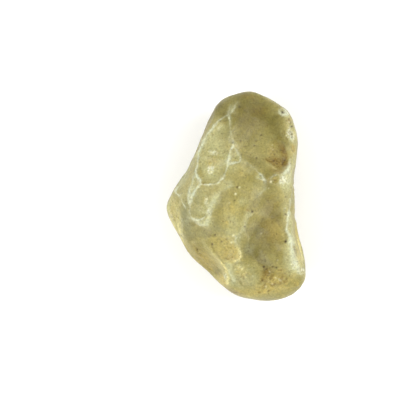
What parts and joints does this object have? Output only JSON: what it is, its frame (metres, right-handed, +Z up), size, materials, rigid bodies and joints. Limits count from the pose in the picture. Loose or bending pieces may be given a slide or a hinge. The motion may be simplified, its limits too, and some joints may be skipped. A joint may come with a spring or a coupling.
{
  "type": "desert glass specimen",
  "caption": "Thumb-sized pebble of translucent pale olive silica glass with a wind-scalloped surface, lying on a small worn flat.",
  "frame": {"origin": "centre of the bounding box in plan, on the surface that the stone rests on", "axes": "+Y along the stone towards its narrower end, +X across it, +Z up out of the scalloped face; the worn flat faces -Z"},
  "size_m": [0.0298, 0.045, 0.0195],
  "materials": {
    "desert_glass": "milky, wind-frosted"
  },
  "bodies": {
    "root": {"desert_glass": "desert_glass"}
  },
  "joints": []
}
